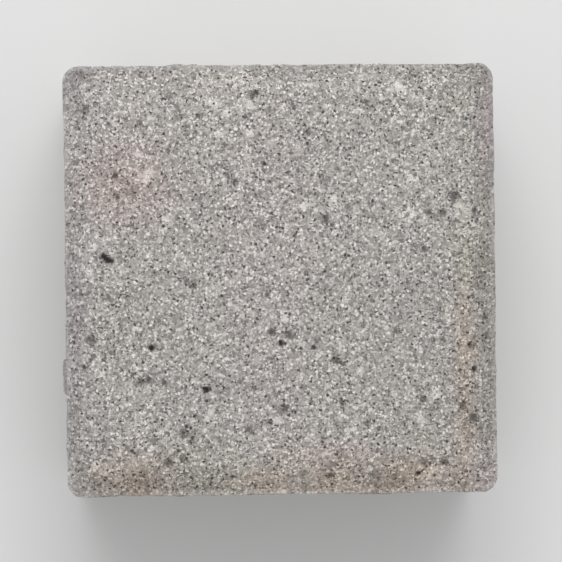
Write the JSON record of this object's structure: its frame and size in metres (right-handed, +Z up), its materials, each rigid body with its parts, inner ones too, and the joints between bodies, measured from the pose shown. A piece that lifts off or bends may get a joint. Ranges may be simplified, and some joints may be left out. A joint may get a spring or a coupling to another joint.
{
  "type": "concrete paving stone",
  "caption": "Square pressed concrete paving stone with a soft bevel round its wearing face, upright walls, and spacer ribs that keep the joints open when it is laid.",
  "frame": {"origin": "middle of the bed face, which lies on the ground", "axes": "+Z up, out of the wearing face; +X and +Y square to two sides of the stone"},
  "size_m": [0.101, 0.101, 0.06],
  "materials": {
    "pressed_concrete": "matte"
  },
  "bodies": {
    "root": {"paving_stone": "pressed_concrete"}
  },
  "joints": []
}
